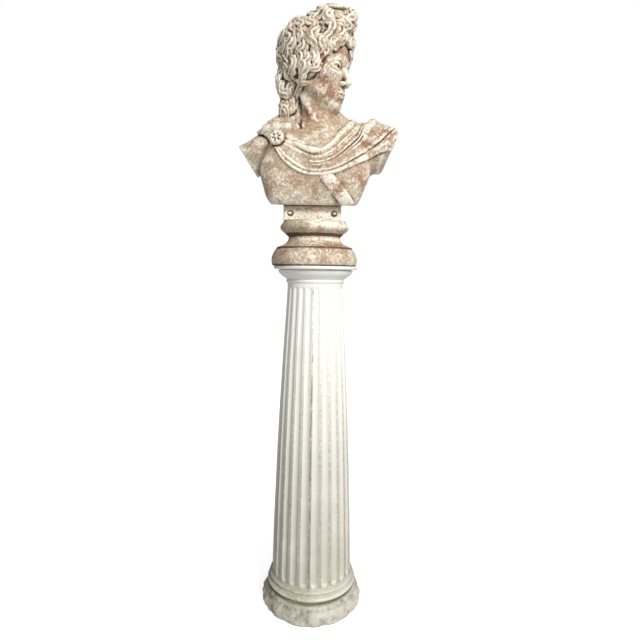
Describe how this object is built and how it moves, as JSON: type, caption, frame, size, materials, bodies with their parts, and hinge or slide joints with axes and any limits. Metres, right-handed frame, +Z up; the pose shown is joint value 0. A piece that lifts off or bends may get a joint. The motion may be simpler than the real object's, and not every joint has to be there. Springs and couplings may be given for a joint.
{
  "type": "classical draped bust on a fluted column pedestal",
  "caption": "Cast bust of a curly-haired youth with a cloak pinned at one shoulder, on a turned socle and a fluted column pedestal.",
  "frame": {"origin": "on the floor, under the middle of the column", "axes": "+Z up, -Y the way the chest faces, +X to the figure's left, the way the head is turned"},
  "size_m": [0.4481, 0.3, 1.7145],
  "materials": {
    "column_white": "off-white, satin, grimy in the flutes and at the foot",
    "socle_wash": "cream wash rubbed over brown, matte",
    "bust_wash": "cream wash rubbed over terracotta, matte"
  },
  "bodies": {
    "root": {"column": "column_white", "socle": "socle_wash", "bust": "bust_wash"}
  },
  "joints": []
}
